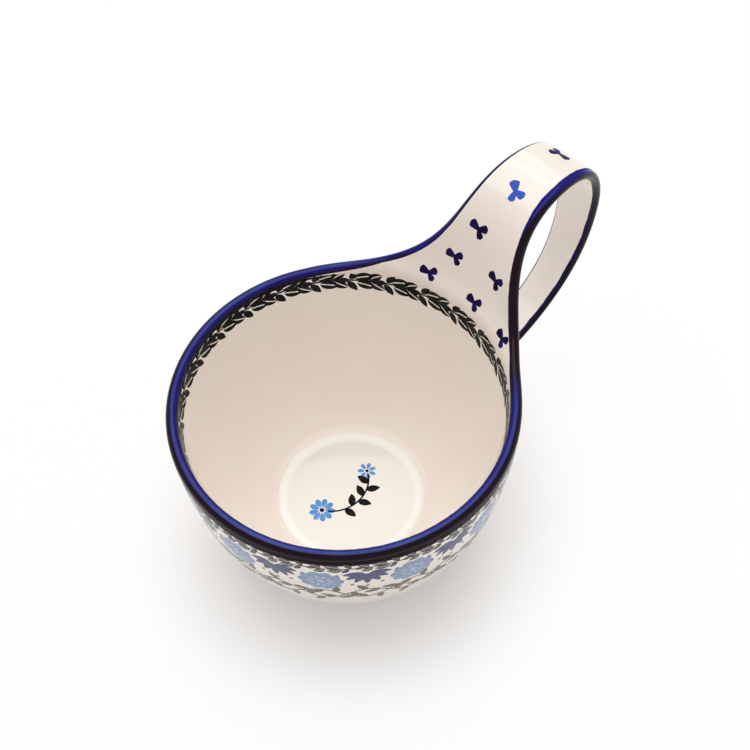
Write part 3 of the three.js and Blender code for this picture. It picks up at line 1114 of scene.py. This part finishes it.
class Sheet:
    """Flat paint strokes in millimetres: x along the band, y away from the start of its line."""

    def __init__(self, across=1, lift=PAINT_LIFT):
        self.points = []
        self.faces = []
        self.across = across
        self.lift = lift

    def stroke(self, path, width):
        """A closed stroke along path(share), with half of its width there from width(share)."""
        first = len(self.points)
        reaches = [2 * i / self.across - 1 for i in range(self.across + 1)]
        for i in range(STROKE_STEPS + 1):
            share = i / STROKE_STEPS
            here = path(share)
            side = crosswise(heading(path, share)) * max(width(share), STROKE_LEAST)
            for level, row in ((self.lift, reaches), (-PAINT_SINK, reaches[::-1])):
                for reach in row:
                    flat = here + side * reach
                    self.points.append((flat.x * MM, flat.y * MM, level * MM))
        count = 2 * len(reaches)
        for face in ring_faces(STROKE_STEPS + 1, count):
            self.faces.append(tuple(first + corner for corner in face))
        last = first + STROKE_STEPS * count
        self.faces.append(tuple(range(first, first + count)))
        self.faces.append(tuple(range(last, last + count)))

    def leaf(self, root, angle, length, half, bend=0.0, slit=0.0):
        """An almond leaf. With a slit it is two lobes beside a bare vein."""
        path = bent(root, angle, length, bend)
        if not slit:
            self.stroke(path, lambda share: half * almond(share))
            return
        for side in (1, -1):
            def lobe(share, side=side):
                reach = side * (half * almond(share) + slit) / 2
                return path(share) + crosswise(heading(path, share)) * reach

            self.stroke(lobe, lambda share: (half * almond(share) - slit) / 2)

    def leaves(self, path, places, length, half, bend):
        """Leaves that stand off a stem: each at a share of its path, on one of its sides."""
        for share, side in places:
            way = heading(path, share)
            angle = atan2(way.y, way.x) + side * LEAF_TILT
            self.leaf(path(share), angle, length, half, side * bend)

    def petal(self, root, angle, length, half):
        """A petal that swells towards its round tip."""
        self.stroke(
            bent(root, angle, length),
            lambda share: half * sin(pi * mix(*PETAL_SPAN, share) ** PETAL_LEAN) ** PETAL_FULLNESS,
        )

    def lobe(self, root, angle, length, half):
        """A wedge of a lobe: narrow at its root, broad at its round tip."""
        def width(share):
            tip = max((share - LOBE_TIP) / (1 - LOBE_TIP), 0.0)
            swell = min(share / LOBE_TIP, 1.0) ** LOBE_SWELL
            return half * mix(LOBE_ROOT, 1.0, swell) * sqrt(1 - tip * tip)

        self.stroke(bent(root, angle, length), width)

    def stem(self, path, half, parts=1):
        """A line of even width, in as many strokes as its bends need."""
        for part in range(parts):
            self.stroke(lambda share, part=part: path((part + share) / parts), lambda share: half)

    def dot(self, centre, radius):
        self.stroke(
            lambda share: centre + Vector((radius * (1 - 2 * share), 0)),
            lambda share: radius * sqrt(max(1 - (1 - 2 * share) ** 2, 0)),
        )


def wrapping_tree():
    """Repeats a flat sheet round the pot, and lays it on the surface that a line turns out."""
    tree = Growth("wrapped_paint", {
        "Line": "Object", "Repeats": "Int", "Pitch": "Float", "Gauge": "Float",
        "Turn": "Float", "Material": "Material",
    })
    pitch = tree.get("ShaderNodeCombineXYZ", 0, sockets={"X": tree.given("Pitch")})
    row = tree.get(
        "GeometryNodeMeshLine", 0, sockets={"Count": tree.given("Repeats"), "Offset": pitch},
    )
    copies = tree.get(
        "GeometryNodeInstanceOnPoints", 0,
        sockets={"Points": row, "Instance": tree.given("Geometry")},
    )
    flat = tree.get("GeometryNodeRealizeInstances", 0, sockets={"Geometry": copies})
    along, away, lift = tree.position()
    line = tree.get("GeometryNodeObjectInfo", "Geometry", sockets={"Object": tree.given("Line")})
    sample = tree.add(
        "GeometryNodeSampleCurve", {"mode": "LENGTH"}, {"Curves": line, "Length": away},
    )
    out, _, up = tree.split(Value(tree, sample.outputs["Position"]))
    out_way, _, up_way = tree.split(Value(tree, sample.outputs["Tangent"]))
    radius = out - up_way * lift
    height = up + out_way * lift
    angle = tree.given("Turn") - along / tree.given("Gauge")
    tree.end(tree.turned(flat, angle, radius, height))
    return tree


WRAPPING = wrapping_tree()


def line_object(name, points):
    """A curve that the paint is wrapped along, in radius and height."""
    data = bpy.data.curves.new(name, "CURVE")
    data.dimensions = "3D"
    spline = data.splines.new("POLY")
    spline.points.add(len(points) - 1)
    for place, point in zip(spline.points, points):
        place.co = (point.x * MM, 0, point.y * MM, 1)
    return new_object(name, data)


def painted(name, sheet, line, material, gauge, repeats=1, pitch=0.0, turn=0.0):
    """Wraps a sheet on to the pot along a line, with its repeats a pitch apart."""
    piece = mesh_object(name, sheet.points, sheet.faces)
    WRAPPING.grow(
        piece, Line=line, Repeats=repeats, Pitch=pitch * MM, Gauge=gauge * MM,
        Turn=turn, Material=material,
    )
    return piece


def pitch_round(gauge, repeats):
    """Length of one repeat round the pot at a radius."""
    return 2 * pi * gauge / repeats


LAUREL_PITCH = 14.4
LAUREL_HEIGHT = 7.8
LAUREL_STEM = 0.3
# Leaves of a repeat: place along and across it, angle, length, half of the width, bend and slit
LAUREL_LEAVES = (
    (0.2, 0.9, 16, 6.0, 1.80, -0.04, 0.22),
    (5.5, 0.6, 36, 4.8, 1.60, -0.12, 0.20),
    (1.0, -0.9, -16, 6.0, 1.80, 0.04, 0.22),
    (6.5, -0.6, -36, 4.8, 1.60, 0.12, 0.20),
    (8.4, 0, 0, 3.4, 1.0, 0, 0),
    (11.8, -0.4, -58, 4.8, 1.20, 0.10, 0),
    (12.6, 0.4, 56, 4.2, 1.15, -0.12, 0),
)


def laurel_sheet(pitch, level, height):
    """One repeat of a laurel garland: two pairs of fat leaves with bare veins, a bud and a tie."""
    sheet = Sheet()
    long, size = pitch / LAUREL_PITCH, height / LAUREL_HEIGHT
    sheet.stem(lambda share: Vector((pitch * share, level)), LAUREL_STEM * size)
    for x, y, angle, length, half, bend, slit in LAUREL_LEAVES:
        root = Vector((x * long, level + y * size))
        sheet.leaf(root, radians(angle), length * size, half * size, bend, slit * size)
    return sheet


# How far the wall lies inside the rim where each band is painted
LAUREL_DRAW_IN = 0.6
FLOWER_DRAW_IN = 1.2
VINE_DRAW_IN = 4.0

LAUREL_INSIDE_REPEATS = 26
LAUREL_TONGUE_REPEATS = 6
LAUREL_INSIDE_HEIGHT = 9.9
LAUREL_INSIDE_DROP = 3.2
LAUREL_OUTSIDE_REPEATS = 24
LAUREL_OUTSIDE_HEIGHT = 7.2
LAUREL_OUTSIDE_DROP = 2.4


def inside_garlands(tongue_line, lip_line, length):
    """Round the inside under the lip: up on to the tongue at the handle, up to the lip elsewhere."""
    gauge = INNER_RIM - LAUREL_DRAW_IN
    pitch = pitch_round(gauge, LAUREL_INSIDE_REPEATS)
    sheet = laurel_sheet(pitch, length - LAUREL_INSIDE_DROP, LAUREL_INSIDE_HEIGHT)
    laurel = paint("laurel_green", LAUREL, LAUREL_THIN, patch=9.0)
    side = pi * LAUREL_TONGUE_REPEATS / LAUREL_INSIDE_REPEATS
    rest = LAUREL_INSIDE_REPEATS - LAUREL_TONGUE_REPEATS
    return [
        painted("tongue_garland", sheet, tongue_line, laurel, gauge, LAUREL_TONGUE_REPEATS, pitch, side),
        painted("inside_garland", sheet, lip_line, laurel, gauge, rest, pitch, -side),
    ]


def outside_garland(line):
    """Round the outside, under the cobalt band."""
    gauge = RIM_RADIUS
    pitch = pitch_round(gauge, LAUREL_OUTSIDE_REPEATS)
    sheet = laurel_sheet(pitch, WALL_BAND + LAUREL_OUTSIDE_DROP, LAUREL_OUTSIDE_HEIGHT)
    # The inside laurel's colours one step paler: a painted sheen
    laurel = outside_paint("laurel_grey", LAUREL_THIN, LAUREL_GREY)
    return painted("outside_garland", sheet, line, laurel, gauge, LAUREL_OUTSIDE_REPEATS, pitch)


# Places down the wall and sizes in the flower band. A fan's leaves and dots draw in with their tilt
FLOWER_REPEATS = 12
FAN_PLACE = 0.25
FAN_LEVEL = 10.2
FAN_TILTS = (-78, -52, -26, 0, 26, 52, 78)
FAN_ROOT = 1.2
FAN_LENGTH = 9.8
FAN_HALF = 1.7
FAN_TILT_PER_MM = 40
DOT_REACH = 13.4
DOT_RADIUS = 0.75
DOT_TILT_PER_MM = 30
ROSETTE_PLACE = 0.75
ROSETTE_LEVEL = 18.2
ROSETTE_PETALS = 10
ROSETTE_HEART = 1.3
# Petals: distance from the middle, length and half of the width
OUTER_PETAL = (1.0, 7.4, 2.5)
INNER_PETAL = (2.6, 2.2, 0.55)


def ring_of(count, start=0.0):
    return [start + 2 * pi * i / count for i in range(count)]


def flower_band(line):
    """Round the outside: slate fans that hang from the garland, and pale rosettes between them."""
    gauge = RIM_RADIUS - FLOWER_DRAW_IN
    pitch = pitch_round(gauge, FLOWER_REPEATS)
    fan = Vector((pitch * FAN_PLACE, FAN_LEVEL))
    rosette = Vector((pitch * ROSETTE_PLACE, ROSETTE_LEVEL))
    slate, dots, pale, light = Sheet(), Sheet(), Sheet(), Sheet(lift=DETAIL_LIFT)
    for tilt in FAN_TILTS:
        angle = radians(90 + tilt)
        long = FAN_LENGTH - abs(tilt) / FAN_TILT_PER_MM
        reach = DOT_REACH - abs(tilt) / DOT_TILT_PER_MM
        slate.leaf(fan + way_to(angle) * FAN_ROOT, angle, long, FAN_HALF)
        dots.dot(fan + way_to(angle) * reach, DOT_RADIUS)
    for angle in ring_of(ROSETTE_PETALS):
        for sheet, (root, length, half) in ((pale, OUTER_PETAL), (light, INNER_PETAL)):
            sheet.petal(rosette + way_to(angle) * root, angle, length, half)
    light.dot(rosette, ROSETTE_HEART)
    return [
        painted(name, sheet, line, material, gauge, FLOWER_REPEATS, pitch)
        for name, sheet, material in (
            ("outside_fans", slate, outside_paint("slate_blue", SLATE_BLUE, SLATE_BLUE_THIN)),
            ("outside_dots", dots, outside_paint("mid_blue", MID_BLUE, PALE_BLUE)),
            ("outside_rosettes", pale, outside_paint("pale_blue", PALE_BLUE, PALE_BLUE_THIN)),
            ("outside_rosette_hearts", light, outside_paint("misty_blue", MISTY_BLUE, PALE_BLUE_THIN)),
        )
    ]


VINE_LEVEL = 33.0
VINE_WAVE = 5.0
VINE_STEM = 0.38
VINE_PARTS = 4
VINE_LEAVES = ((0.10, 1), (0.25, -1), (0.40, 1), (0.60, -1), (0.75, 1), (0.90, -1))
# Leaves on a stem: length, half of the width, and bend
VINE_LEAF = (6.4, 1.45, 0.12)


def vine_band(line):
    """Round the outside, under the flowers: two vines that cross each other, with small leaves."""
    gauge = RIM_RADIUS - VINE_DRAW_IN
    pitch = pitch_round(gauge, FLOWER_REPEATS)
    sheet = Sheet()
    for phase in (0.0, pi):
        def vine(share, phase=phase):
            return Vector((pitch * share, VINE_LEVEL + VINE_WAVE * sin(2 * pi * share + phase)))

        sheet.stem(vine, VINE_STEM, VINE_PARTS)
        sheet.leaves(vine, VINE_LEAVES, *VINE_LEAF)
    sage = outside_paint("sage_vine", SAGE, SAGE_THIN)
    return painted("outside_vine", sheet, line, sage, gauge, FLOWER_REPEATS, pitch)


# Sprigs up the handle: distance up its face from the rim, place across the strap, and slant
SPRIGS = (
    (7.9, 16.1, 11), (18.6, 9.2, 9), (33.4, 4.6, 2), (52.8, 0.1, -24), (80.5, 1.8, -158),
    (20.6, -10.8, 1), (7.4, -6.1, 9), (7.0, -25.5, 8), (106.0, -1.0, 60), (132.0, 0.5, -15),
)
# A sprig's lobes: direction, length and half of the width
SPRIG_LOBES = ((158, 4.5, 1.85), (24, 4.2, 1.65), (-54, 4.1, 1.45))
# The stamp left smaller sprigs beside the rim than up the handle
SPRIG_SIZE = (0.90, 1.05)
SPRIG_GROWTH = (6.0, 53.0)
SPRIG_ROWS = 4
LIGHT_SPRIG = 3


def handle_sprigs(line, face, length):
    """Three-lobed sprigs on the face of the handle, each stamped at its own slant."""
    made = []
    dark = paint("sprig_blue", SPRIG, SPRIG_THIN, patch=6.0)
    light = paint("sprig_light_blue", SPRIG_LIGHT, SPRIG_LIGHT_THIN, patch=3.0)
    for number, (distance, across, slant) in enumerate(SPRIGS):
        sheet = Sheet(SPRIG_ROWS)
        place = face.at(length + distance)[0]
        root = Vector((-across, length + distance))
        size = mix(*SPRIG_SIZE, smoothstep(distance, *SPRIG_GROWTH))
        for tilt, long, half in SPRIG_LOBES:
            sheet.lobe(root, radians(tilt + slant), long * size, half * size)
        material = light if number == LIGHT_SPRIG else dark
        made.append(painted(f"handle_sprig_{number + 1}", sheet, line, material, place.x))
    return made


# The spray in the well lies on an arc, whose ends carry the flowers
WELL_ARC = (radians(-155), radians(-25))
WELL_ARC_WIDE = 14.0
WELL_ARC_DEEP = 13.0
WELL_ARC_RISE = 9.0
WELL_STEM = 0.34
WELL_STEM_SPAN = (0.08, 0.94)
WELL_STEM_PARTS = 3
WELL_LEAVES = ((0.30, -1), (0.40, 1), (0.50, -1), (0.60, 1), (0.70, -1), (0.80, 1))
WELL_LEAF = (5.6, 1.5, 0.14)
# Flowers: place on the arc, size, and number of petals
WELL_FLOWERS = ((0.0, 1.0, 9), (1.0, 0.72, 7))
WELL_FLOWER_TURN = radians(30)
WELL_PETAL = (1.3, 3.9, 1.15)
WELL_HEART = 0.95


def well_posy():
    """In the well: a curved spray of leaves between two blue flowers."""
    leaves, petals, hearts = Sheet(), Sheet(), Sheet()

    def spray(share):
        turn = mix(*WELL_ARC, share)
        return Vector((WELL_ARC_WIDE * cos(turn), WELL_ARC_RISE + WELL_ARC_DEEP * sin(turn)))

    leaves.stem(lambda share: spray(mix(*WELL_STEM_SPAN, share)), WELL_STEM, WELL_STEM_PARTS)
    leaves.leaves(spray, WELL_LEAVES, *WELL_LEAF)
    root, length, half = WELL_PETAL
    for share, size, count in WELL_FLOWERS:
        centre = spray(share)
        for angle in ring_of(count, WELL_FLOWER_TURN):
            petals.petal(centre + way_to(angle) * root * size, angle, length * size, half * size)
        hearts.dot(centre, WELL_HEART * size)
    made = []
    for name, sheet, material in (
        ("well_leaves", leaves, paint("ink_black", INK, INK_THIN)),
        ("well_flowers", petals, paint("sky_blue", SKY, SKY_THIN)),
        ("well_flower_hearts", hearts, paint("well_blue", SPRIG, SPRIG_THIN)),
    ):
        points = [placed(x / MM, y / MM, FLOOR_LEVEL + z / MM) for x, y, z in sheet.points]
        made.append(shell_object(name, points, sheet.faces, material))
    return made


# The pot

finished(bowl(), "cream_glaze", "bowl_body")
finished(foot_ring(), "bare_clay", "foot_ring")
finished(handle(), "cream_glaze", "handle_strap", "handle_root_slip", "handle_tail_slip")
finished(cobalt_edge(), "cobalt_glaze", "cobalt_edge_glaze")

inside_points = list(reversed(inner_wall))
inside_length = Line(inside_points).length
tongue = [
    Vector((section.radius, section.height)) + section.across * section.face
    for section in SECTIONS[1:-FILLET_STATIONS]
]
lip = arc(Vector((LIP_CIRCLE, LIP_LEVEL)), LIP_RADIUS, pi, pi / 2, LIP_STEPS)
tongue_line = line_object("tongue_line", inside_points + tongue)
lip_line = line_object("lip_line", inside_points + lip[1:])
outside_line = line_object("outside_line", list(reversed(outer_wall)))

decoration = inside_garlands(tongue_line, lip_line, inside_length)
decoration += [outside_garland(outside_line), vine_band(outside_line)]
decoration += flower_band(outside_line)
decoration += handle_sprigs(tongue_line, Line(inside_points + tongue), inside_length)
decoration += well_posy()
for piece in decoration:
    finished(piece, "cobalt_glaze")
for helper in (tongue_line, lip_line, outside_line):
    bpy.data.objects.remove(helper)


# Camera, at the photograph's view

CAMERA_PLACE = (-199.4, -232.1, 528.7)
CAMERA_AIM = (33.3, 18.2, 40.0)
CAMERA_ROLL = radians(-2.72)
FOCAL_LENGTH = 72.0
SENSOR_WIDTH = 36.0
NEAREST = 0.01
FARTHEST = 100


def view_axes():
    """Right, up and forward directions of the view."""
    forward = (placed(*CAMERA_AIM) - placed(*CAMERA_PLACE)).normalized()
    level = forward.cross(Vector((0, 0, 1))).normalized()
    rise = level.cross(forward)
    right = level * cos(CAMERA_ROLL) + rise * sin(CAMERA_ROLL)
    return right, right.cross(forward), forward


def aimed(piece, place, right, up, forward):
    turn = Matrix((right, up, -forward)).transposed().to_4x4()
    piece.matrix_world = Matrix.Translation(place) @ turn


def camera():
    data = bpy.data.cameras.new("camera")
    data.sensor_width = SENSOR_WIDTH
    data.lens = FOCAL_LENGTH
    data.clip_start = NEAREST
    data.clip_end = FARTHEST
    piece = new_object("camera", data)
    aimed(piece, placed(*CAMERA_PLACE), *view_axes())
    bpy.context.scene.camera = piece


camera()


# Studio: a pale floor, two soft lights above and behind the pot, and an even fill, in metres

FILL_COLOUR = colour(1, 0.985, 0.97)
FILL_LEVEL = 0.62
LIGHT_AIM = Vector((0, 0, 0.05))
FLOOR_HALF = 40.0
FLOOR_COLOUR = colour(0.96, 0.955, 0.95)
FLOOR_ROUGHNESS = 0.55
FLOOR_IOR = 1.3
# How far the floor looks plain white, by the millimetres from the bowl's axis: least beside the pot,
# so that its shadow stays
GLOW_AT_POT = 0.15
GLOW_AWAY = 0.85
GLOW_REACH = (54.0, 98.0)


def levelled(way):
    return Vector((way.x, way.y, 0)).normalized()


def soft_light(name, away, side, height, size, power):
    """A round light, placed away from the camera, to the side of its view, and up from the floor."""
    data = bpy.data.lights.new(name, "AREA")
    data.shape = "DISK"
    data.size = size
    data.energy = power
    piece = new_object(name, data)
    view_right, _, view_forward = view_axes()
    place = levelled(view_forward) * away + levelled(view_right) * side + Vector((0, 0, height))
    forward = (LIGHT_AIM - place).normalized()
    right = forward.cross(Vector((0, 0, 1))).normalized()
    aimed(piece, place, right, right.cross(forward), forward)


def floor():
    """A pale floor that looks white away from the pot and keeps the pot's shadow."""
    finish = Finish("pale_floor")
    finish.set(base_color=FLOOR_COLOUR, roughness=FLOOR_ROUGHNESS, ior=FLOOR_IOR)
    near, far = GLOW_REACH
    away = finish.step(finish.radius(), near * MM, far * MM)
    glow = GLOW_AT_POT + (GLOW_AWAY - GLOW_AT_POT) * away
    path = finish.add("ShaderNodeLightPath")
    rays = ("Is Camera Ray", "Is Glossy Ray", "Is Transmission Ray")
    seen, mirrored, through = (Value(finish, path.outputs[ray]) for ray in rays)
    white = finish.get("ShaderNodeEmission", 0, sockets={"Color": colour(1, 1, 1), "Strength": 1.0})
    plain = Value(finish, finish.shader.outputs[0])
    share = (seen + mirrored + through) * glow
    mixed = finish.add("ShaderNodeMixShader", sockets={0: share, 1: plain, 2: white})
    finish.tree.links.new(mixed.outputs[0], finish.tree.nodes["Material Output"].inputs["Surface"])
    signs = ((-1, -1), (1, -1), (1, 1), (-1, 1))
    points = [(x * FLOOR_HALF, y * FLOOR_HALF, 0) for x, y in signs]
    piece = mesh_object("floor", points, [(0, 1, 2, 3)], finish.material)


def world():
    """Even pale surroundings."""
    surroundings = bpy.data.worlds.new("studio")
    bpy.context.scene.world = surroundings
    surroundings.use_nodes = True
    back = surroundings.node_tree.nodes["Background"]
    back.inputs["Color"].default_value = FILL_COLOUR
    back.inputs["Strength"].default_value = FILL_LEVEL


floor()
world()
soft_light("top_light", away=0.30, side=-0.06, height=1.3, size=1.4, power=8.8)
soft_light("crest_light", away=1.27, side=0.28, height=1.3, size=0.8, power=2.7)
bpy.context.scene.view_settings.view_transform = "Standard"
